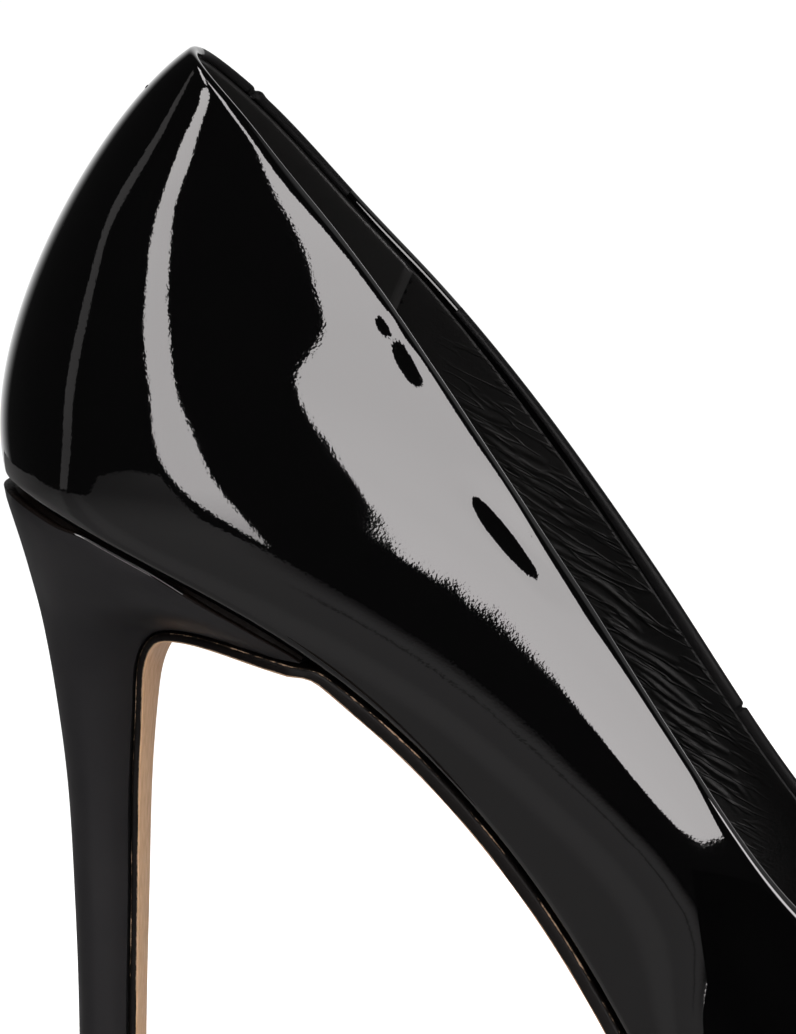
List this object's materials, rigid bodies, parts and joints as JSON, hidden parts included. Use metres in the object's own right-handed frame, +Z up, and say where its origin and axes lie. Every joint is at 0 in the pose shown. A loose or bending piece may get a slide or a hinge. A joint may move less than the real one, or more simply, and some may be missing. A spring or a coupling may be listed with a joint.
{
  "type": "stiletto pump shoe",
  "caption": "Pointed court shoe with a hollow glossy upper, curved leather sole, covered stiletto heel and top lift; it stands empty on heel and forefoot.",
  "frame": {"origin": "on the floor under the middle of the shoe's bounding box", "axes": "+X to the toe, +Y to the medial side, +Z up"},
  "size_m": [0.2222, 0.0758, 0.1636],
  "materials": {
    "patent": "high gloss patent",
    "sole_leather": "smooth",
    "sock": "matte",
    "heel_cover": "high gloss patent",
    "top_lift": "matte"
  },
  "bodies": {
    "root": {"upper": "patent", "outsole": "sole_leather", "insole": "sock", "heel": "heel_cover", "heel_tip": "top_lift"}
  },
  "joints": []
}
